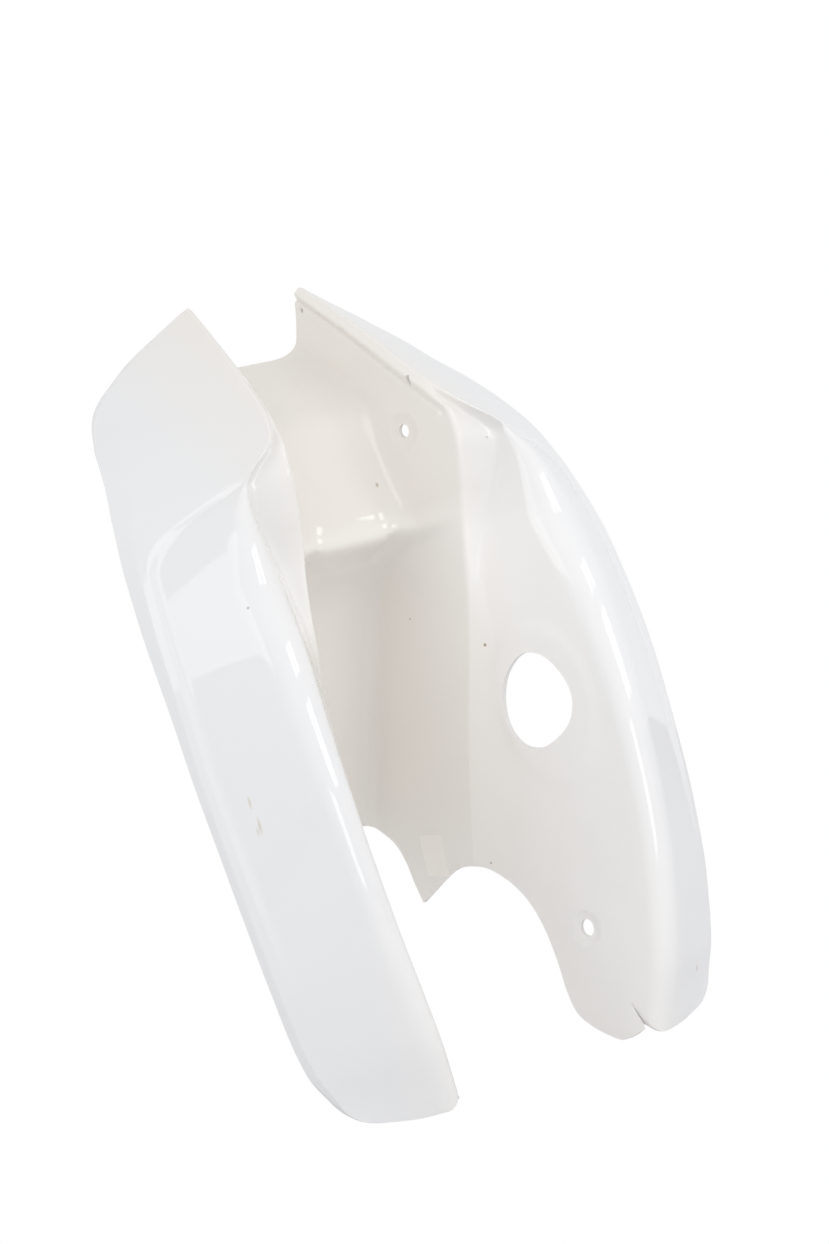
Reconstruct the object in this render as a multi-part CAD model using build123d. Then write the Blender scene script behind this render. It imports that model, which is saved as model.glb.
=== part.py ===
from build123d import *
import os
from bisect import bisect_right
from math import atan, cos, hypot

# Leg shield of a small step-through motorbike: one thin moulding with a tunnel between two wings.
# X is across, the mid plane is X = 0. Y grows from the front wheel towards the rider. Z is up.
# Guide lines are measured from the foot of the wing fold and moved to the top bolt at the end.

# Wall and edges
wall = 3.0
tunnel_corner_radius = 14.0
ridge_radius = 6.0
valley_radius = 10.0
fold_radius = 13.0
least_radius = 0.5

# Bolts, plug hole and other openings, placed by (depth, height)
top_bolt_place = (78.0, 460.0)
top_bolt_radius = 5.0
low_bolt_place = (55.5, 70.0)
low_bolt_radius = 6.5
# Service hole of the right side wall, each corner (depth, height, radius)
service_hole_line = [
    (44, 281, 14), (16, 264, 20), (13, 229, 10), (41, 203, 16), (71, 205, 16), (77, 234, 20), (64, 270, 14),
]

# Guide lines of one half, each knot (height, half width, depth)
ridge_line = [
    (-40, 42, 205), (60, 47, 174), (130, 50, 150), (210, 55, 121), (290, 61.5, 86), (340, 65, 66),
    (380, 66.5, 50), (420, 67, 34), (446, 68, 28), (462, 67, 28), (476, 63.5, 40), (505, 56.5, 70),
    (550, 50, 120), (600, 42, 180),
]
valley_line = [
    (-40, 49.5, 166), (60, 57, 136), (130, 62.5, 114), (210, 68.5, 90), (270, 72.5, 71), (320, 74, 62),
    (345, 76, 61), (370, 82, 57), (395, 90, 49), (420, 99.5, 40), (440, 102, 34), (450, 94, 34),
    (460, 82, 34), (470, 73, 39), (485, 66.5, 54), (505, 61.5, 74), (550, 55, 124), (600, 47, 184),
]
fold_line = [
    (-40, 74, 14), (0, 83, -4), (40, 92, -20), (80, 100, -27), (120, 107, -31), (160, 112, -33),
    (200, 115.5, -33), (260, 118.5, -30), (320, 119.5, -23), (360, 119, -12), (395, 118, -2),
    (420, 114.5, 10), (442, 106, 22), (452, 97, 24), (462, 84, 25), (472, 75, 30), (485, 69, 42),
    (505, 63.5, 63), (550, 57, 112), (600, 48, 172),
]
rim_line = [
    (-40, 146, 44), (10, 160, 46), (35, 171, 46), (60, 177, 45), (100, 183, 42), (140, 187, 42),
    (180, 190, 44), (270, 194, 53), (340, 193.5, 67), (400, 188.5, 86), (440, 181, 102), (470, 171, 122),
    (500, 160, 151),
    (525, 150, 179), (545, 146, 202), (565, 137, 222), (585, 118, 232), (600, 92, 226),
]
curl_step = [(-40, 4, 10), (160, 3, 8), (250, 3, 9), (320, 4.5, 11.5), (400, 7, 13), (500, 12, 13), (600, 8, 9)]

# Lower panel of the outer face: its edge as (height, share of the face from fold to curl, depth)
panel_edge = [
    (-40, 0.92, 0), (100, 0.92, 0), (160, 0.93, 2), (250, 0.94, 3), (396, 0.94, 3), (410, 0.9, 3), (422, 0.77, 3),
    (432, 0.5, 3), (440, 0.27, 2), (446, 0.16, 0), (600, 0.3, 0),
]
panel_step = 5.0

floor_line = [
    (-40, 26, 355), (100, 31, 305), (177, 34.5, 272), (273, 42, 226), (345, 47.5, 191), (364, 47, 174),
    (378, 45, 142), (391, 43.5, 114), (404, 43, 107), (430, 43, 103), (465, 43, 103), (482, 43, 114),
    (510, 43, 148), (551, 43, 200), (600, 42, 262),
]
section_heights = [
    -36, 6, 36, 66, 100, 140, 180, 220, 260, 295, 325, 345, 364, 378, 391, 401, 411, 422, 432, 440, 446, 454,
    462, 472, 485, 505, 528, 551, 575, 600,
]
tunnel_half_width = 20.0
side_wall_reach = 79.0
hole_reach = 100.0
wing_reach = 230.0
clear = 60.0

# Trim lines seen from the side, each corner (depth, height, radius)
top_trim = [(150, 634, 0), (216, 523, 0)]
foot_trim = [
    (400, 212, 0), (243, 160, 25), (231, 108, 3), (176, 131, 24), (140, 131, 30), (106, 98, 30), (92, 60, 60),
    (89, 12, 24), (39, -15, 14), (11.5, -6, 0), (11.5, -2, 0), (-60, -5, 0),
]

# Wing foot seen from the front, each corner (half width, height, radius)
wing_foot = [
    (79, 12, 0), (81, -13, 10), (112, -12, 80), (148, -5, 30), (173, 38, 60),
    (210, 140, 0),
]

# Wing top seen from the front, each corner (half width, height, radius)
wing_top = [
    (214, 394, 0), (173, 475, 120), (138, 538, 80), (100, 568, 150), (58, 593, 60), (30, 604, 0),
]


def value_at(knots, height, column):
    """Smooth value of a guide line at a height, with no overshoot between its knots."""
    heights = [knot[0] for knot in knots]
    values = [knot[column] for knot in knots]
    slopes = [
        (values[i + 1] - values[i]) / (heights[i + 1] - heights[i]) for i in range(len(knots) - 1)
    ]
    tangents = [slopes[0]]
    for before, after in zip(slopes, slopes[1:]):
        level = before * after <= 0
        tangents.append(0.0 if level else 2 * before * after / (before + after))
    tangents.append(slopes[-1])
    i = min(max(bisect_right(heights, height) - 1, 0), len(slopes) - 1)
    span = heights[i + 1] - heights[i]
    t = (height - heights[i]) / span
    return (
        values[i] * (2 * t**3 - 3 * t**2 + 1)
        + tangents[i] * span * (t**3 - 2 * t**2 + t)
        + values[i + 1] * (3 * t**2 - 2 * t**3)
        + tangents[i + 1] * span * (t**3 - t**2)
    )


def point_on(knots, height):
    return Vector(value_at(knots, height, 1), value_at(knots, height, 2), 0)


def turn_between(before, after):
    """Half the turn at a corner, as its tangent, and its side: 1 to the left, -1 to the right."""
    cosine = max(-1.0, min(1.0, before.dot(after)))
    half_tangent = ((1 - cosine) / (1 + cosine)) ** 0.5
    return max(half_tangent, 1e-4), 1 if before.cross(after).Z > 0 else -1


def directions(points):
    return [(b - a).normalized() for a, b in zip(points, points[1:])]


def offset_points(points, gaps):
    """The corners of the line that runs beside the given one, to its left, a gap away on each run."""
    ways = directions(points)
    sides = [Vector(-way.Y, way.X, 0) for way in ways]
    moved = [points[0] + sides[0] * gaps[0]]
    for i in range(1, len(points) - 1):
        spread = ways[i - 1].cross(ways[i]).Z
        shift = sides[i] * gaps[i] - sides[i - 1] * gaps[i - 1]
        along = shift.cross(ways[i]).Z / spread if abs(spread) > 1e-6 else 0.0
        moved.append(points[i] + sides[i - 1] * gaps[i - 1] + ways[i - 1] * along)
    moved.append(points[-1] + sides[-1] * gaps[-1])
    return moved


def rounded_run(points, radii):
    """The lines and tangent arcs, as tuples of points, of an open line that is rounded where a radius is given."""
    ways = directions(points)
    lengths = [(b - a).length for a, b in zip(points, points[1:])]
    run = []
    start = points[0]
    for i, radius in enumerate(radii, start=1):
        if radius == 0:
            run.append((start, points[i]))
            start = points[i]
            continue
        half_tangent, _ = turn_between(ways[i - 1], ways[i])
        reach = min(radius * half_tangent, 0.45 * lengths[i - 1], 0.45 * lengths[i])
        first = points[i] - ways[i - 1] * reach
        last = points[i] + ways[i] * reach
        height = reach * half_tangent / (1 + hypot(1, half_tangent))
        chord = (first + last) * 0.5
        run.append((start, first))
        run.append((first, chord + (points[i] - chord).normalized() * height, last))
        start = last
    run.append((start, points[-1]))
    return run


def skin(run, height):
    """Edges from the left rim to the right rim, from the half that starts at mid plane."""
    lift = Vector(0, 0, height)
    right = [[point + lift for point in piece] for piece in run]
    left = [[Vector(-point.X, point.Y, point.Z) for point in reversed(piece)] for piece in right[1:]]
    floor_end = right[0][-1]
    middle = [[Vector(-floor_end.X, floor_end.Y, floor_end.Z), floor_end]]
    pieces = left[::-1] + middle + right[1:]
    return [Line(*piece) if len(piece) == 2 else ThreePointArc(*piece) for piece in pieces]


def level_section(height):
    """The whole moulding cut level at a height: a front skin, a back skin and the two rims."""
    floor_corner = point_on(floor_line, height)
    fold = point_on(fold_line, height)
    rim = point_on(rim_line, height)
    curl = rim - point_on(curl_step, height)
    face = curl - fold
    across = face.normalized()
    inward = Vector(-across.Y, across.X, 0)
    panel_rim = fold + face * value_at(panel_edge, height, 1)
    panel_corner = panel_rim - across * panel_step + inward * value_at(panel_edge, height, 2)
    front = [
        Vector(0, floor_corner.Y, 0),
        floor_corner,
        point_on(ridge_line, height),
        point_on(valley_line, height),
        fold,
        panel_corner,
        panel_rim,
        curl,
        rim,
    ]
    reach = 2.0
    rise = value_at(floor_line, height + reach, 2) - value_at(floor_line, height - reach, 2)
    gaps = [wall / cos(atan(rise / (2 * reach)))] + [wall] * (len(front) - 2)
    back = offset_points(front, gaps)
    ways = directions(front)
    radii = [tunnel_corner_radius, ridge_radius, valley_radius, fold_radius, 0, 0, 0]
    sides = [turn_between(before, after)[1] for before, after in zip(ways, ways[1:])]
    back_radii = [max(least_radius, r - side * wall) if r else 0 for r, side in zip(radii, sides)]
    front_skin = skin(rounded_run(front, radii), height)
    back_skin = skin(rounded_run(back, back_radii), height)
    right_end = Line(front_skin[-1] @ 1, back_skin[-1] @ 1)
    left_end = Line(back_skin[0] @ 0, front_skin[0] @ 0)
    return Wire(front_skin + [right_end] + back_skin[::-1] + [left_end])


def blank():
    """The untrimmed shell, through its level sections."""
    return Solid.make_loft([level_section(height) for height in section_heights], ruled=True)


def trim_face(trim, beyond, plane):
    """The flat region between a rounded trim line and the corners beyond it."""
    corners = [corner[:2] for corner in trim]
    if len(trim) > 2:
        line = FilletPolyline(*corners, radius=[corner[2] for corner in trim[1:-1]])
    else:
        line = Line(*corners)
    closing = Polyline(corners[-1], *beyond, corners[0])
    return plane * make_face(line.edges() + closing.edges())


def top_cutter():
    """Takes off what stands behind the mouth of the tunnel, at the steering head."""
    high = section_heights[-1] + clear
    back = floor_line[-1][2] + clear
    outline = trim_face(top_trim, [(back, top_trim[-1][1]), (back, high)], Plane.YZ)
    return extrude(outline, amount=wing_reach, both=True)


def foot_cutter():
    """Takes off what hangs below the tunnel, the leg arches and the side walls."""
    low = section_heights[0] - clear
    outline = trim_face(foot_trim, [(foot_trim[-1][0], low), (foot_trim[0][0], low)], Plane.YZ)
    return extrude(outline, amount=side_wall_reach, both=True)


def wing_cutter(trim, level):
    """Takes off the right wing what lies past a line seen from the front, as far as a level."""
    front = Plane.XZ.offset(-floor_line[0][2])
    outline = trim_face(trim, [(trim[-1][0], level), (trim[0][0], level)], front)
    return extrude(outline, amount=2 * floor_line[0][2])


def cross_bore(place, radius):
    """A round hole along X at a place given by depth and height."""
    middle = Plane((0, *place), x_dir=(0, 1, 0), z_dir=(1, 0, 0))
    return extrude(middle * Circle(radius), amount=hole_reach, both=True)


def service_hole():
    """The plug opening in the right side wall."""
    corners = [corner[:2] for corner in service_hole_line]
    line = FilletPolyline(*corners, radius=[corner[2] for corner in service_hole_line], close=True)
    side = Plane((tunnel_half_width, 0, 0), x_dir=(0, 1, 0), z_dir=(1, 0, 0))
    return extrude(side * make_face(line.edges()), amount=hole_reach)


def build():
    shell = blank()
    low = section_heights[0] - clear
    high = section_heights[-1] + clear
    right_trims = [wing_cutter(wing_foot, low), wing_cutter(wing_top, high)]
    left_trims = [mirror(trim, Plane.YZ) for trim in right_trims]
    shell -= [top_cutter(), foot_cutter(), *right_trims, *left_trims]
    shell -= [cross_bore(top_bolt_place, top_bolt_radius), cross_bore(low_bolt_place, low_bolt_radius)]
    shell -= service_hole()
    origin = Vector(0, *top_bolt_place)
    return Pos(-origin) * shell


if __name__ == "__main__":
    os.makedirs("parts", exist_ok=True)
    leg_shield = build()
    export_step(leg_shield, "parts/leg_shield.step")
    print(leg_shield.bounding_box())
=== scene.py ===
import bpy
from bisect import bisect_right
from math import cos, hypot, pi, radians, sin, tan
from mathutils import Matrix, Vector


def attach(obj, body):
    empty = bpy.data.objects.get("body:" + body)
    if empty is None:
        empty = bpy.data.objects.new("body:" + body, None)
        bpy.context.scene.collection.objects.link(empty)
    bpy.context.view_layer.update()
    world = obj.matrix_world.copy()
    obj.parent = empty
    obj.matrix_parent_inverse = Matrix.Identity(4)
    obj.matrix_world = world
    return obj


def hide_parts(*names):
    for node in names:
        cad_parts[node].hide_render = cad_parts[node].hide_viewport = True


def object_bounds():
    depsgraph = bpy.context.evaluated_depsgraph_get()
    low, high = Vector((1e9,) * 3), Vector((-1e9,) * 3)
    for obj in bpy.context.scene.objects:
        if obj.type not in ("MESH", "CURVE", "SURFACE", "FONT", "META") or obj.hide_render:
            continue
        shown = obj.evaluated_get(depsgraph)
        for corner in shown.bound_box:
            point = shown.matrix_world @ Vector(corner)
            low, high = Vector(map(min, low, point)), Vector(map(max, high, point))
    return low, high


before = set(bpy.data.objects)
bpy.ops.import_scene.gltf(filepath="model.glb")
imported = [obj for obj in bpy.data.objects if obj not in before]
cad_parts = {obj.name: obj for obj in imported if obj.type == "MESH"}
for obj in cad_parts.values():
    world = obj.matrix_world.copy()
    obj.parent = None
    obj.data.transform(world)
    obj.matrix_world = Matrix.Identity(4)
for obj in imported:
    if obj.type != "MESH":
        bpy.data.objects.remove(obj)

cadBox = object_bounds()

view = {
    "place": (-0.828, -1.631, -0.183),
    "turn": (91.412, 15.459, -27.079),
    "lens": 72.35,
    "sensor": 36.0,
}


def addCamera():
    data = bpy.data.cameras.new("camera")
    data.sensor_fit = "VERTICAL"
    data.sensor_height = view["sensor"]
    data.lens = view["lens"]
    camera = bpy.data.objects.new("camera", data)
    camera.location = view["place"]
    camera.rotation_euler = [radians(angle) for angle in view["turn"]]
    bpy.context.scene.collection.objects.link(camera)
    bpy.context.scene.camera = camera


addCamera()
bpy.context.scene.view_settings.view_transform = "Standard"
print("camera placed")


class Value:
    # A socket that can be added, multiplied and so on, each step one Math node
    def __init__(self, nodes, socket):
        self.nodes = nodes
        self.socket = socket

    def step(self, operation, *others, **settings):
        inputs = dict(enumerate((self,) + others))
        made = self.nodes.node("ShaderNodeMath", {"operation": operation, **settings}, inputs)
        return self.nodes.value(made)

    def __add__(self, other):
        return self.step("ADD", other)

    def __radd__(self, other):
        return self.step("ADD", other)

    def __sub__(self, other):
        return self.step("SUBTRACT", other)

    def __rsub__(self, other):
        return (self * -1.0) + other

    def __mul__(self, other):
        return self.step("MULTIPLY", other)

    def __rmul__(self, other):
        return self.step("MULTIPLY", other)

    def absolute(self):
        return self.step("ABSOLUTE")

    def clamped(self):
        return self.step("ADD", 0.0, use_clamp=True)

    def partWay(self, start, end):
        # 0 at start and 1 at end
        return (self - start) * (1.0 / (end - start))


class Nodes:
    # The node tree of a material or a world, and the short ways to put nodes into it
    def __init__(self, owner):
        owner.use_nodes = True
        self.owner = owner
        self.tree = owner.node_tree
        self.tree.nodes.clear()

    def node(self, kind, settings=None, inputs=None):
        made = self.tree.nodes.new(kind)
        for name, value in (settings or {}).items():
            setattr(made, name, value)
        for name, value in (inputs or {}).items():
            source = value.socket if isinstance(value, Value) else value
            if isinstance(source, bpy.types.NodeSocket):
                self.tree.links.new(source, made.inputs[name])
            else:
                made.inputs[name].default_value = source
        return made

    def value(self, node, output=0):
        return Value(self, node.outputs[output])

    def blend(self, factor, first, second):
        # Sockets 6 and 7 are the two colours of a Mix node
        inputs = {"Factor": factor, 6: first, 7: second}
        return self.node("ShaderNodeMix", {"data_type": "RGBA"}, inputs).outputs[2]


shellLook = {
    "white": (0.820, 0.821, 0.824, 1.0),
    "glowingCream": (0.945, 0.915, 0.872, 1.0),  # in the tunnel: its yellowed tone, painted paler than the white outside as painted light coming through the thin wall
    "paintedShadeCream": (0.835, 0.800, 0.750, 1.0),  # painted shade: a darker tone for the upper bowl and beside the ridge tops, where less light falls
    "creamTo": 0.045,  # distances from the mid plane at which cream ends and white starts
    "whiteFrom": 0.125,
    "bowlShadeFrom": -0.085,  # heights at which the painted shade of the upper bowl starts and is full
    "bowlShadeTo": -0.055,
    "roughness": 0.025,
    "roughCloud": 0.03,  # change of roughness over a cloud
    "cloudScale": 9.0,
    "cloudDetail": 4.0,
    "cloudEdge": 0.4,  # how far the clouds move the edge of the cream
    "peelScale": 260.0,  # faint orange peel
    "peelDetail": 2.0,
    "peelHeight": 0.00003,
    "bumpStrength": 0.5,
    "ior": 1.5,
    "markEdge": 1.5,  # a mark fades out at this many times its size
    "markStrength": 0.85,
    "marks": [  # place, size, stretch along the height, colour
        ((-0.1371, -0.0694, -0.1030), 0.0009, 1.0, (0.45, 0.33, 0.30, 1.0)),
        ((0.0688, -0.0045, -0.1693), 0.0011, 1.0, (0.30, 0.17, 0.05, 1.0)),
        ((0.0329, 0.0252, -0.0324), 0.0010, 1.8, (0.52, 0.44, 0.33, 1.0)),
        ((0.0538, 0.0719, -0.1343), 0.0008, 1.0, (0.55, 0.45, 0.30, 1.0)),
        ((0.0948, -0.0449, -0.0227), 0.0007, 1.0, (0.50, 0.47, 0.44, 1.0)),
        ((0.0560, 0.0547, -0.3298), 0.0008, 1.0, (0.35, 0.30, 0.24, 1.0)),
        ((0.1396, -0.0557, -0.4397), 0.0013, 2.2, (0.66, 0.58, 0.52, 1.0)),
        ((-0.1681, -0.0559, -0.2314), 0.0009, 4.5, (0.66, 0.60, 0.50, 1.0)),
        ((-0.1664, -0.0581, -0.2485), 0.0010, 5.5, (0.66, 0.60, 0.50, 1.0)),
        ((-0.1680, -0.0563, -0.2520), 0.0008, 4.0, (0.66, 0.60, 0.50, 1.0)),
    ],
    "label": {  # plain paper label, bare of any print
        "middle": (0.044, 0.121, -0.3165),
        "turn": 0.10,
        "half": (0.0148, 0.0168),
        "lean": -0.122,  # how far its wall leans across for each metre of depth
        "reach": 0.0015,  # kept to the inner face of the wall
        "sharp": 4000.0,
        "thick": 0.0002,
        "rough": 0.45,
        "color": (0.985, 0.955, 0.90, 1.0),
    },
}


def withMark(made, place, color, mark):
    # The colour with one small soft spot in it
    spot, size, stretch, tone = mark
    away = made.node("ShaderNodeVectorMath", {"operation": "SUBTRACT"}, {0: place, 1: spot})
    squashed = made.node("ShaderNodeVectorMath", {"operation": "MULTIPLY"}, {
        0: away.outputs[0], 1: (1.0, 1.0, 1.0 / stretch),
    })
    length = made.node("ShaderNodeVectorMath", {"operation": "LENGTH"}, {0: squashed.outputs[0]})
    far = made.value(length, "Value") * (1.0 / size)
    mask = (shellLook["markEdge"] - far).clamped() * shellLook["markStrength"]
    return made.blend(mask, color, tone)


def labelMask(across, depth, height):
    # 1 on the label, 0 elsewhere
    label = shellLook["label"]
    middle, (halfWide, halfTall) = label["middle"], label["half"]
    turnCos, turnSin = cos(label["turn"]), sin(label["turn"])
    back, up = depth - middle[1], height - middle[2]
    limits = (
        (halfWide, back * turnCos + up * turnSin), (halfTall, up * turnCos - back * turnSin),
        (label["reach"], across - middle[0] - back * label["lean"]),
    )
    wide, tall, near = [((half - away.absolute()) * label["sharp"]).clamped() for half, away in limits]
    return wide * tall * near


def shellFinish():
    # Glossy moulded plastic, white outside and yellowed within the tunnel, where it is painted paler
    # as painted light and darker in the upper bowl as painted shade
    look = shellLook
    label = look["label"]
    made = Nodes(bpy.data.materials.new("shellPlastic"))
    place = made.node("ShaderNodeTexCoord").outputs["Object"]
    axes = made.node("ShaderNodeSeparateXYZ", {}, {"Vector": place})
    across, depth, height = [made.value(axes, k) for k in range(3)]
    cloud = made.value(made.node("ShaderNodeTexNoise", {}, {
        "Vector": place, "Scale": look["cloudScale"], "Detail": look["cloudDetail"],
    })) - 0.5
    outside = across.absolute().partWay(look["creamTo"], look["whiteFrom"])
    inside = (1.0 - outside + cloud * look["cloudEdge"]).clamped()
    # painted shade: the tunnel's tone turns darker towards the upper bowl
    high = height.partWay(look["bowlShadeFrom"], look["bowlShadeTo"]).clamped()
    # the tunnel's yellowed tone is painted paler than the white as painted light
    color = made.blend(inside, look["white"], made.blend(high, look["glowingCream"], look["paintedShadeCream"]))
    for mark in look["marks"]:
        color = withMark(made, place, color, mark)
    paper = labelMask(across, depth, height)
    color = made.blend(paper, color, label["color"])
    peel = made.value(made.node("ShaderNodeTexNoise", {}, {
        "Vector": place, "Scale": look["peelScale"], "Detail": look["peelDetail"],
    }))
    bump = made.node("ShaderNodeBump", {}, {
        "Height": peel * look["peelHeight"] + paper * label["thick"],
        "Strength": look["bumpStrength"],
        "Distance": 1.0,
    })
    body = made.node("ShaderNodeBsdfPrincipled", {}, {
        "Base Color": color,
        "Roughness": cloud * look["roughCloud"] + look["roughness"] + paper * label["rough"],
        "Normal": bump.outputs[0],
        "IOR": look["ior"],
    })
    made.node("ShaderNodeOutputMaterial", {}, {"Surface": body.outputs[0]})
    return made.owner


# Millimetres: across from the mid plane, depth back and height up from the foot of the folds.
# A knot of a guide line is height, across, depth, and any other knot is height, value.
shellShape = {
    "wall": 3.0,
    "leastRadius": 0.5,
    "leastTurn": 0.01,  # a corner with less turn than this stays a straight line
    "leastCross": 1e-6,  # and with less than this its two sides count as parallel
    "radiusShare": 0.45,  # the most that a rounding takes of a side
    "slopeReach": 2.0,  # half the stretch over which a slope is measured
    "floorRadius": [(-40, 14), (350, 15), (385, 24), (430, 30), (500, 40), (600, 40)],
    "ridgeRadius": [(-40, 6), (450, 6), (480, 4), (600, 4)],
    "valleyRadius": [(-40, 10), (450, 10), (480, 5), (600, 5)],
    "foldRadius": [(-40, 13), (200, 15), (300, 20), (380, 24), (450, 20), (480, 5), (600, 4)],
    "ridge": [
        (-40, 42, 205), (60, 47, 174), (130, 50, 150), (210, 55, 121), (290, 61.5, 86),
        (340, 65, 66), (380, 66.5, 50), (420, 67, 34), (446, 68, 28), (462, 67, 28),
        (476, 63.5, 40), (505, 56.5, 70), (550, 50, 120), (600, 42, 180),
    ],
    "valley": [
        (-40, 49.5, 166), (60, 57, 136), (130, 62.5, 114), (210, 68.5, 90), (270, 72.5, 71),
        (320, 74, 62), (345, 76, 61), (370, 82, 57), (395, 90, 49), (420, 99.5, 40),
        (440, 102, 34), (450, 94, 34), (460, 82, 34), (470, 73, 38), (485, 65.5, 46.5),
        (505, 60, 66.8), (550, 53.6, 116.4), (600, 45, 176.4),
    ],
    "fold": [
        (-40, 74, 14), (0, 83, -4), (40, 92, -20), (80, 100, -27), (120, 107, -31),
        (160, 112, -33), (200, 115.5, -33), (260, 118.5, -30), (320, 119.5, -23),
        (360, 119, -12), (395, 118, -2), (420, 114.5, 10), (442, 106, 22), (452, 97, 24),
        (462, 84, 25), (472, 75, 30), (485, 69, 42), (505, 63.5, 63), (550, 57, 112),
        (600, 48, 172),
    ],
    "rim": [
        (-40, 146, 44), (10, 160, 46), (35, 171, 46), (60, 177, 45), (100, 183, 42),
        (140, 187, 42), (180, 190, 44), (270, 194, 53), (340, 193.5, 67), (400, 188.5, 86),
        (440, 181, 102), (470, 171, 122), (500, 160, 151), (525, 150, 179), (545, 146, 202),
        (565, 137, 222), (585, 118, 232), (600, 92, 226),
    ],
    "curl": [  # the last stretch before the rim: height, then its run across and in depth
        (-40, 4, 10), (160, 3, 8), (250, 3, 9), (320, 4.5, 11.5), (400, 7, 13), (500, 12, 13),
        (600, 8, 9),
    ],
    "panel": [  # edge of the wing's panel: height, share of the face, drop
        (-40, 0.92, 0), (100, 0.92, 0), (160, 0.93, 2), (250, 0.94, 3), (396, 0.94, 3),
        (410, 0.9, 3), (422, 0.77, 3), (432, 0.5, 3), (440, 0.27, 2), (446, 0.16, 0),
        (600, 0.3, 0),
    ],
    "panelStep": [(-40, 5), (396, 5), (422, 14), (600, 9)],
    "floor": [
        (-40, 26, 355), (100, 31, 305), (177, 34.5, 272), (273, 42, 226), (345, 47.5, 191),
        (364, 47, 172), (375, 45.5, 147), (382, 44, 119.5), (385, 43.5, 106.5),
        (388, 43, 100.5), (391.5, 43, 98.5), (396, 43, 98.2), (401, 43, 98.5), (406, 43, 99.2),
        (411, 43, 100.3), (417, 43, 101.9), (424, 43, 103.9), (434, 43, 106.6),
        (450, 43, 110.4), (466, 43, 113.8), (482, 43, 120), (510, 43, 148), (551, 43, 200),
        (600, 42, 262),
    ],
    "rimRound": 0.35,  # share of the wall by which each skin ends short of the rim's edge
    "foot": -36.0,
    "top": 600.0,
    "rowGaps": [  # height from which the rings have this gap
        (-36, 4.6), (50, 2.2), (95, 4.8), (195, 3.0), (295, 3.4), (340, 2.0), (500, 3.2),
    ],
    "lineParts": (6, 12, 1, 3, 4, 22, 18, 3, 12, 4),  # parts of each straight and of each rounding
    "arcParts": (8, 4, 5, 7),
    "stepWidth": 9.0,  # strip beside the top of the ridge, set back from the tunnel's wall
    "stepRun": 2.5,
    "stepRise": [(-40, 0), (452, 0), (468, 2.4), (600, 2.4)],
    "pad": {  # raised round the service hole, on the columns from valley to fold
        "middle": (42, 236),
        "size": (44, 66),
        "edge": 0.16,
        "rise": 1.3,
        "way": (-0.92, -0.39),
        "columns": (38, 66),
    },
    "pocket": {  # under the ends of the lip, on the columns of the tunnel floor
        "middle": (35, 383),
        "size": (10, 8.5),
        "core": 0.35,
        "depth": 6.0,
        "columns": (0, 24),
    },
    "seatParts": 48,
    "seatSpread": 2.0,  # a seat's edge widens by this many times its depth
    "seats": [  # washer seats: corner before, corner after, bolt, radius, depth
        ("floor", "ridge", 0, 14.0, 0.7), ("valley", "fold", 1, 13.0, 0.7),
    ],
    "slotParts": 16,
    "slots": [  # small holes beside the ridge top: place, half size, reach from the mid plane
        ((61, 494), (2.2, 4.0), (50, 62)), ((170, 579), (2.0, 2.0), (36, 49)),
    ],
    "origin": (0.0, 78.0, 460.0),
    "trimParts": 10,  # parts of a rounding in a trim line
    "leastGap": 0.05,
    "spanParts": 6,  # parts between two knots of a smooth outline
    "topTrim": [(148.2, 634, 0), (214.2, 523, 0)],  # depth, height, radius
    "footTrim": [  # depth, height, and 1 where the outline turns sharply
        (400, 212, 1), (290, 186, 0), (262, 169, 0), (247, 157, 0), (239.5, 142, 0),
        (236, 125, 0), (231, 108, 1), (214, 115, 0), (196, 122.5, 0), (177, 129, 0),
        (158, 130.8, 0), (140, 127.5, 0), (125, 117.5, 0), (112, 103.5, 0), (103, 88, 0),
        (96.5, 68, 0), (92.5, 46, 0), (90, 26, 0), (84, 9, 0), (70, -2, 0), (53, -9.8, 0),
        (39, -13.6, 0), (25, -10.7, 0), (11.5, -6, 1), (11.5, -2, 1), (-60, -5, 1),
    ],
    "wingFoot": [  # across, height, radius
        (79, 12, 0), (82, -13, 24), (112, -12, 80), (148, -5, 30), (173, 38, 60), (210, 140, 0),
    ],
    "wingTop": [
        (214, 394, 0), (173, 475, 120), (138, 538, 80), (100, 568, 150), (58, 593, 60), (30, 604, 0),
    ],
    "serviceHole": [  # depth, height
        (17.3, 238), (24, 221), (38, 211), (54, 206.5), (69, 211), (77, 226), (75, 246),
        (65, 265), (49, 276.5), (33, 273), (21.5, 257),
    ],
    "holeStart": 20.0,  # the service hole is cut from here to the right, so in one wall only
    "boltParts": 40,
    "bolts": [((78.0, 460.0), 5.0), ((55.5, 70.0), 6.5)],  # depth and height, radius
    "sideReach": 79.0,  # how far the cutters reach to each side
    "holeReach": 100.0,
    "wingReach": 230.0,
    "clear": 60.0,  # and how far past the shell's ends
    "smoothAngle": 34.0,
}


def valueAt(knots, height, column):
    # Smooth value of a guide line at a height, with no overshoot between its knots
    heights = [knot[0] for knot in knots]
    values = [knot[column] for knot in knots]
    spans = zip(heights, heights[1:], values, values[1:])
    slopes = [(v1 - v0) / (h1 - h0) for h0, h1, v0, v1 in spans]
    tangents = [slopes[0]]
    for before, after in zip(slopes, slopes[1:]):
        tangents.append(0.0 if before * after <= 0 else 2 * before * after / (before + after))
    tangents.append(slopes[-1])
    i = min(max(bisect_right(heights, height) - 1, 0), len(slopes) - 1)
    span = heights[i + 1] - heights[i]
    t = (height - heights[i]) / span
    return (
        values[i] * (2 * t**3 - 3 * t**2 + 1)
        + tangents[i] * span * (t**3 - 2 * t**2 + t)
        + values[i + 1] * (3 * t**2 - 2 * t**3)
        + tangents[i + 1] * span * (t**3 - t**2)
    )


def pointOn(line, height):
    knots = shellShape[line]
    return Vector((valueAt(knots, height, 1), valueAt(knots, height, 2)))


def waysOf(points):
    return [(b - a).normalized() for a, b in zip(points, points[1:])]


def crossOf(a, b):
    return a.x * b.y - a.y * b.x


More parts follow.
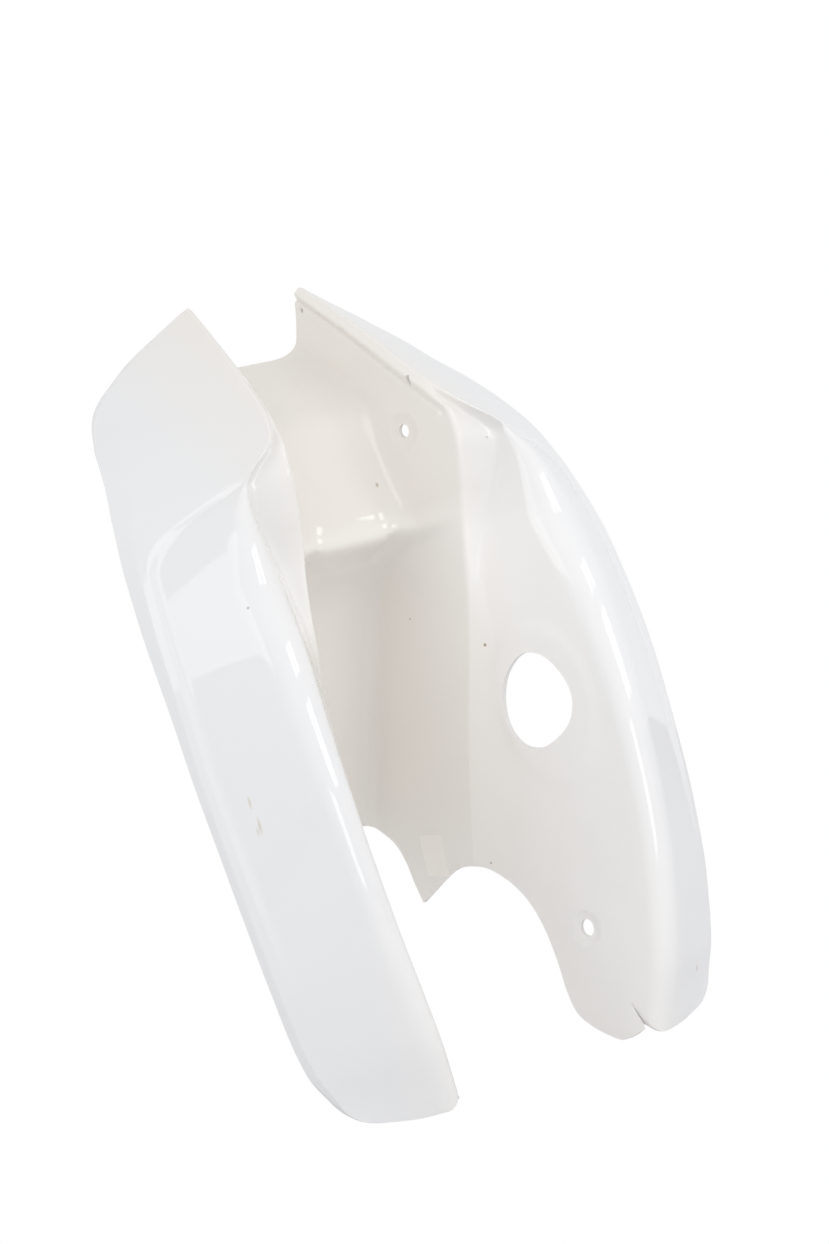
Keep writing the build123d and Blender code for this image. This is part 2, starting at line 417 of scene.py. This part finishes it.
def offsetPoints(points, gaps):
    # The corners of the line that runs beside the given one, to its left
    ways = waysOf(points)
    sides = [Vector((-way.y, way.x)) for way in ways]
    moved = [points[0] + sides[0] * gaps[0]]
    for i in range(1, len(points) - 1):
        spread = crossOf(ways[i - 1], ways[i])
        shift = sides[i] * gaps[i] - sides[i - 1] * gaps[i - 1]
        bent = abs(spread) > shellShape["leastCross"]
        along = crossOf(shift, ways[i]) / spread if bent else 0.0
        moved.append(points[i] + sides[i - 1] * gaps[i - 1] + ways[i - 1] * along)
    moved.append(points[-1] + sides[-1] * gaps[-1])
    return moved


def arcPoints(first, corner, last, parts):
    # Points of the arc that leaves first and reaches last along the two sides of the corner
    before = (corner - first).normalized()
    after = (last - corner).normalized()
    turn = before.angle_signed(after, 0.0) * -1.0
    if abs(turn) < shellShape["leastTurn"]:
        return [first.lerp(last, (k + 1) / parts) for k in range(parts)]
    radius = (corner - first).length / tan(abs(turn) / 2)
    side = Vector((-before.y, before.x)) * (1 if turn > 0 else -1)
    centre = first + side * radius
    made = []
    for k in range(parts):
        spoke = first - centre
        angle = turn * (k + 1) / parts
        made.append(centre + Vector((
            spoke.x * cos(angle) - spoke.y * sin(angle),
            spoke.x * sin(angle) + spoke.y * cos(angle),
        )))
    return made


def roundedRun(points, radii, lineParts, arcParts):
    # Even points along an open line that is rounded where a radius is given
    ways = waysOf(points)
    longest = [(b - a).length * shellShape["radiusShare"] for a, b in zip(points, points[1:])]
    arcs = iter(arcParts)
    run = [points[0]]
    for i, radius in enumerate(radii, start=1):
        reach = 0.0
        if radius:
            halfTangent = tan(ways[i - 1].angle(ways[i], 0.0) / 2)
            reach = min(radius * halfTangent, longest[i - 1], longest[i])
        start = run[-1]
        first = points[i] - ways[i - 1] * reach
        parts = lineParts[i - 1]
        run += [start.lerp(first, (k + 1) / parts) for k in range(parts)]
        if radius:
            last = points[i] + ways[i] * reach
            run += arcPoints(first, points[i], last, next(arcs))
    start = run[-1]
    run += [start.lerp(points[-1], (k + 1) / lineParts[-1]) for k in range(lineParts[-1])]
    return run


def sectionAt(height):
    # Front and back skin of the right half, cut level, from the mid plane to the rim
    look = shellShape
    wall = look["wall"]
    floorCorner, ridge, valley, fold, rim = [
        pointOn(name, height) for name in ("floor", "ridge", "valley", "fold", "rim")
    ]
    curl = rim - pointOn("curl", height)
    face = curl - fold
    across = face.normalized()
    inward = Vector((-across.y, across.x))
    panelRim = fold + face * valueAt(look["panel"], height, 1)
    step = valueAt(look["panelStep"], height, 1)
    panelCorner = panelRim - across * step + inward * valueAt(look["panel"], height, 2)
    wallWay = (ridge - floorCorner).normalized()
    rise = Vector((-wallWay.y, wallWay.x)) * valueAt(look["stepRise"], height, 1)
    stepFoot = ridge - wallWay * (look["stepWidth"] + look["stepRun"])
    stepTop = ridge - wallWay * look["stepWidth"] + rise
    front = [
        Vector((0, floorCorner.y)), floorCorner, stepFoot, stepTop, ridge, valley,
        fold, panelCorner, panelRim, curl, rim,
    ]
    reach = look["slopeReach"]
    before, after = [valueAt(look["floor"], height + way * reach, 2) for way in (-1, 1)]
    slope = (after - before) / (2 * reach)
    gaps = [wall * hypot(1, slope)] + [wall] * (len(front) - 2)
    back = offsetPoints(front, gaps)
    floorRadius, ridgeRadius, valleyRadius, foldRadius = [
        valueAt(look[name + "Radius"], height, 1) for name in ("floor", "ridge", "valley", "fold")
    ]
    cornerRadii = (floorRadius, 0, 0, ridgeRadius, valleyRadius, foldRadius, 0, 0, 0)
    ways = waysOf(front)
    backRadii = []
    for radius, before, after in zip(cornerRadii, ways, ways[1:]):
        side = 1 if crossOf(before, after) > 0 else -1
        backRadii.append(max(look["leastRadius"], radius - side * wall) if radius else 0)
    skins = []
    for points, radii in ((front, cornerRadii), (back, backRadii)):
        skins.append(roundedRun(points, radii, look["lineParts"], look["arcParts"]))
    skins = [[raised(point, height, i) for i, point in enumerate(skin)] for skin in skins]
    edge = (skins[0][-1] + skins[1][-1]) / 2
    for skin in skins:  # the rim is rounded off
        way = (skin[-1] - skin[-2]).normalized()
        skin[-1] = skin[-1] - way * wall * look["rimRound"]
    return skins[0] + [edge] + skins[1][::-1]


def fadeOut(distance, start, end):
    # 1 inside start, 0 past end, smooth between them
    t = min(max((end - distance) / (end - start), 0.0), 1.0)
    return t * t * (3 - 2 * t)


def reachOf(along, height, oval):
    # 0 in the middle of an oval and 1 on its edge
    middle, size = oval["middle"], oval["size"]
    return hypot((along - middle[0]) / size[0], (height - middle[1]) / size[1])


def raised(point, height, column):
    # The pad round the service hole and the pocket under the lip move both skins alike
    pad, pocket = shellShape["pad"], shellShape["pocket"]
    if pad["columns"][0] <= column <= pad["columns"][1]:
        reach = reachOf(point.y, height, pad)
        return point + Vector(pad["way"]) * pad["rise"] * fadeOut(reach, 1.0 - pad["edge"], 1.0)
    if pocket["columns"][0] <= column <= pocket["columns"][1]:
        reach = reachOf(point.x, height, pocket)
        return point + Vector((0.0, pocket["depth"])) * fadeOut(reach, pocket["core"], 1.0)
    return point


def ringAt(height):
    # The closed section of both halves, with the same count of points at each height
    right = sectionAt(height)
    return right + [Vector((-point.x, point.y)) for point in reversed(right[1:-1])]


def addMesh(name, points, faces):
    mesh = bpy.data.meshes.new(name)
    mesh.from_pydata(points, [], faces)
    mesh.validate()
    made = bpy.data.objects.new(name, mesh)
    bpy.context.scene.collection.objects.link(made)
    return made


def inFrame(x, y, z):
    origin = shellShape["origin"]
    return ((x - origin[0]) / 1000, (y - origin[1]) / 1000, (z - origin[2]) / 1000)


def rowHeights():
    # Heights of the rings, closer together where the form changes fast
    look = shellShape
    starts = [start for start, gap in look["rowGaps"]] + [look["top"]]
    heights = []
    for (start, gap), end in zip(look["rowGaps"], starts[1:]):
        count = round((end - start) / gap)
        heights += [start + (end - start) * k / count for k in range(count)]
    return heights + [look["top"]]


def makeBlank():
    # The untrimmed shell: one ring of points at each height, closed at the foot and at the top
    heights = rowHeights()
    rings = [ringAt(height) for height in heights]
    size = len(rings[0])
    last = size // 4 - 1  # the last point of the front skin, beside the rim's edge
    points = []
    for ring, height in zip(rings, heights):
        points += [inFrame(point.x, point.y, height) for point in ring]
    faces = []
    for row in range(len(heights) - 1):
        for i in range(size):
            a, b = row * size + i, row * size + (i + 1) % size
            faces.append((a, b, b + size, a + size))
    for base in (0, (len(heights) - 1) * size):
        for i in range(last):
            back = 2 * last + 2 - i  # the point of the back skin behind point i
            quad = (i, i + 1, back - 1, back)
            faces.append(tuple(base + k for k in quad))
            faces.append(tuple(base + (size - k) % size for k in quad))
        faces.append((base + last, base + last + 1, base + last + 2))
        faces.append((base + size - last, base + size - last - 1, base + size - last - 2))
    return addMesh("shieldShell", points, faces)


def roundedLine(corners):
    # A trim line as points, rounded at the corners that give a radius
    points = [Vector(corner[:2]) for corner in corners]
    radii = [corner[2] for corner in corners[1:-1]]
    arcParts = [shellShape["trimParts"]] * len(radii)
    made = []
    for point in roundedRun(points, radii, [1] * (len(points) - 1), arcParts):
        if not made or (point - made[-1]).length > shellShape["leastGap"]:
            made.append(point)
    return made


def smoothSpan(before, start, end, after):
    # A smooth curve from start to end that minds the points before and after them
    parts = shellShape["spanParts"]
    made = []
    for k in range(parts):
        t = k / parts
        made.append(0.5 * (
            2 * start + (end - before) * t + (2 * before - 5 * start + 4 * end - after) * t * t
            + (3 * start - before - 3 * end + after) * t**3
        ))
    return made


def smoothLine(knots):
    # An open outline through its knots, smooth but for the sharp ones
    points = [Vector(knot[:2]) for knot in knots]
    made = []
    for i in range(len(points) - 1):
        before = points[i] if knots[i][2] else points[i - 1]
        after = points[i + 1] if knots[i + 1][2] else points[i + 2]
        made += smoothSpan(before, points[i], points[i + 1], after)
    return made + [points[-1]]


def smoothLoop(knots):
    # A closed outline through its knots
    points = [Vector(knot) for knot in knots]
    made = []
    for i in range(len(points)):
        near = [points[(i + k) % len(points)] for k in (-1, 0, 1, 2)]
        made += smoothSpan(*near)
    return made


def ovalLoop(middle, wide, tall, parts):
    angles = [2 * pi * k / parts for k in range(parts)]
    return [Vector((middle[0] + wide * cos(a), middle[1] + tall * sin(a))) for a in angles]


def mirrored(outline):
    return [Vector((-point.x, point.y)) for point in outline]


def drumFaces(size):
    # Two ends and the sides between two loops of points
    sides = [(i, i + size, (i + 1) % size + size, (i + 1) % size) for i in range(size)]
    return [tuple(range(size)), tuple(range(2 * size - 1, size - 1, -1))] + sides


def addPrism(name, outline, axis, near, far):
    # A cutter: an outline drawn from the side (axis 0) or from the front (axis 1), pushed along
    points = []
    for reach in (near, far):
        for point in outline:
            place = (reach, point.x, point.y) if axis == 0 else (point.x, reach, point.y)
            points.append(inFrame(*place))
    return addMesh(name, points, drumFaces(len(outline)))


def chooseOnly(piece):
    bpy.ops.object.select_all(action="DESELECT")
    piece.select_set(True)
    bpy.context.view_layer.objects.active = piece


def turnOutward(piece):
    chooseOnly(piece)
    bpy.ops.object.mode_set(mode="EDIT")
    bpy.ops.mesh.select_all(action="SELECT")
    bpy.ops.mesh.normals_make_consistent(inside=False)
    bpy.ops.object.mode_set(mode="OBJECT")


def cutAway(shell, cutter):
    turnOutward(cutter)
    chooseOnly(shell)
    trim = shell.modifiers.new("trim", "BOOLEAN")
    trim.operation = "DIFFERENCE"
    trim.solver = "MANIFOLD"
    trim.object = cutter
    bpy.ops.object.modifier_apply(modifier=trim.name)
    bpy.data.objects.remove(cutter)


def wallAt(before, after, depth, height):
    # The place on the wall between two guide lines at a depth and a height
    start, end = pointOn(before, height), pointOn(after, height)
    return Vector((start.lerp(end, (depth - start.y) / (end.y - start.y)).x, depth, height))


def seatCutter(before, after, bolt, radius, deep, side):
    # A shallow dish, square to the wall, round a bolt hole
    look = shellShape
    (depth, height), parts = bolt, look["seatParts"]
    reach, spread = look["slopeReach"], look["seatSpread"] * deep

    def wall(back, up):
        return wallAt(before, after, depth + back, height + up)

    along = wall(reach, 0) - wall(-reach, 0)
    out = along.cross(wall(0, reach) - wall(0, -reach)).normalized()
    out = out if out.x < 0 else -out
    middle = wall(0, 0) - out * deep
    across = along.normalized()
    upright = out.cross(across)
    points = []
    # It starts deep below the wall and ends as far above it
    for lift, size in ((0.0, radius - spread), (2 * deep, radius + spread)):
        for way in ovalLoop((0.0, 0.0), 1.0, 1.0, parts):
            point = middle + out * lift + (across * way.x + upright * way.y) * size
            points.append(inFrame(point.x * side, point.y, point.z))
    return addMesh("seatCutter", points, drumFaces(parts))


def trimCutters():
    # For the top, for the foot of the tunnel and for both ends of each wing
    look = shellShape
    high, low = look["top"] + look["clear"], look["foot"] - look["clear"]
    behind = look["floor"][-1][2] + look["clear"]
    top = roundedLine(look["topTrim"])
    top += [Vector((behind, look["topTrim"][-1][1])), Vector((behind, high))]
    yield addPrism("topCutter", top, 0, -look["wingReach"], look["wingReach"])
    foot = smoothLine(look["footTrim"])
    foot += [Vector((look["footTrim"][-1][0], low)), Vector((look["footTrim"][0][0], low))]
    yield addPrism("footCutter", foot, 0, -look["sideReach"], look["sideReach"])
    deep = look["floor"][0][2]
    for trimName, level in (("wingFoot", low), ("wingTop", high)):
        trim = look[trimName]
        line = roundedLine(trim) + [Vector((trim[-1][0], level)), Vector((trim[0][0], level))]
        yield addPrism(trimName + "Right", line, 1, -deep, deep)
        yield addPrism(trimName + "Left", mirrored(line), 1, -deep, deep)


def holeCutters():
    # For the bolt holes, the service hole, the small holes beside the ridges and the washer seats
    look = shellShape
    far = look["holeReach"]
    for middle, radius in look["bolts"]:
        circle = ovalLoop(middle, radius, radius, look["boltParts"])
        yield addPrism("boltCutter", circle, 0, -far, far)
    hole = smoothLoop(look["serviceHole"])
    yield addPrism("holeCutter", hole, 0, look["holeStart"], look["holeStart"] + far)
    for middle, (wide, tall), (start, end) in look["slots"]:
        slot = ovalLoop(middle, wide, tall, look["slotParts"])
        yield addPrism("slotCutter", slot, 0, start, end)
        yield addPrism("slotCutter", slot, 0, -end, -start)
    for before, after, bolt, radius, deep in look["seats"]:
        for side in (1, -1):
            yield seatCutter(before, after, look["bolts"][bolt][0], radius, deep, side)


def makeShell():
    shell = makeBlank()
    turnOutward(shell)
    for cutters in (trimCutters, holeCutters):
        for cutter in cutters():
            cutAway(shell, cutter)
        print(cutters.__name__, len(shell.data.polygons))
    shell.data.materials.clear()
    shell.data.materials.append(shellFinish())
    chooseOnly(shell)
    bpy.ops.object.shade_smooth_by_angle(angle=radians(shellShape["smoothAngle"]))
    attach(shell, "root")
    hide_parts("leg_shield")


makeShell()
print("shell made")


studio = {
    "floorDrop": 0.004,
    "floorSize": 9.0,
    "floorBack": 0.9,
    "floorColor": (0.79, 0.79, 0.80, 1.0),
    "skyColor": (0.985, 0.99, 1.0, 1.0),
    "skyStrength": 0.90,
    "darkSide": (0.0, 0.3, 1.0),  # the sky is a little darker above and behind
    "darkDrop": 0.16,
    "lampAim": (0.0, 0.0, -0.15),
    "lamps": [
        {"name": "lampLeft", "place": (-1.7, -0.8, 1.0), "size": 1.2, "power": 6.0},
        {"name": "lampFront", "place": (-0.2, -1.5, -0.36), "size": 0.45, "power": 1.9},
    ],
    "window": {  # four panes, whose reflection shows on the lip of the tunnel
        "middle": (0.53, -1.02, 0.15),
        "aim": (0.0, 0.02, -0.06),
        "pane": 0.22,
        "bar": 0.09,
        "power": 0.60,
    },
}


def whiteToCamera(made, surface, white):
    # What the camera sees directly is plain white, and the light on the object stays as it is
    path = made.node("ShaderNodeLightPath")
    plain = made.node(white, {}, {"Color": (1.0, 1.0, 1.0, 1.0), "Strength": 1.0})
    return made.node("ShaderNodeMixShader", {}, {
        0: path.outputs["Is Camera Ray"], 1: surface.outputs[0], 2: plain.outputs[0],
    }).outputs[0]


def addFloor():
    place = (0, studio["floorBack"], cadBox[0].z - studio["floorDrop"])
    bpy.ops.object.select_all(action="DESELECT")
    bpy.ops.mesh.primitive_plane_add(size=studio["floorSize"], location=place)
    floor = bpy.context.active_object
    floor.name = "floor"
    bpy.ops.object.transform_apply(location=True)
    made = Nodes(bpy.data.materials.new("floorPaper"))
    paper = made.node("ShaderNodeBsdfDiffuse", {}, {"Color": studio["floorColor"]})
    surface = whiteToCamera(made, paper, "ShaderNodeEmission")
    made.node("ShaderNodeOutputMaterial", {}, {"Surface": surface})
    floor.data.materials.append(made.owner)


def addSky():
    made = Nodes(bpy.data.worlds.new("studio"))
    bpy.context.scene.world = made.owner
    way = made.node("ShaderNodeTexCoord").outputs["Generated"]
    towardsDark = made.node("ShaderNodeVectorMath", {"operation": "DOT_PRODUCT"}, {
        0: way, 1: Vector(studio["darkSide"]).normalized(),
    })
    facing = made.value(towardsDark, "Value").clamped()
    soft = made.node("ShaderNodeBackground", {}, {
        "Color": studio["skyColor"],
        "Strength": studio["skyStrength"] - facing * facing * studio["darkDrop"],
    })
    surface = whiteToCamera(made, soft, "ShaderNodeBackground")
    made.node("ShaderNodeOutputWorld", {}, {"Surface": surface})


def turnTo(place, aim):
    return (Vector(aim) - Vector(place)).to_track_quat("-Z", "Y")


def addLamp(name, size, power, place, turn):
    data = bpy.data.lights.new(name, "AREA")
    data.shape = "SQUARE"
    data.size = size
    data.energy = power
    lamp = bpy.data.objects.new(name, data)
    lamp.location = place
    lamp.rotation_euler = turn.to_euler()
    bpy.context.scene.collection.objects.link(lamp)
    return lamp


def addPanes():
    look = studio["window"]
    middle = Vector(look["middle"])
    turn = turnTo(middle, look["aim"])
    step = (look["pane"] + look["bar"]) / 2
    for across, up in ((-step, -step), (step, -step), (-step, step), (step, step)):
        place = middle + turn @ Vector((across, up, 0.0))
        pane = addLamp("pane", look["pane"], look["power"], place, turn)
        pane.visible_camera = False


def addLamps():
    for lamp in studio["lamps"]:
        turn = turnTo(lamp["place"], studio["lampAim"])
        addLamp(lamp["name"], lamp["size"], lamp["power"], lamp["place"], turn)


addFloor()
addSky()
addPanes()
addLamps()
print("studio lit")
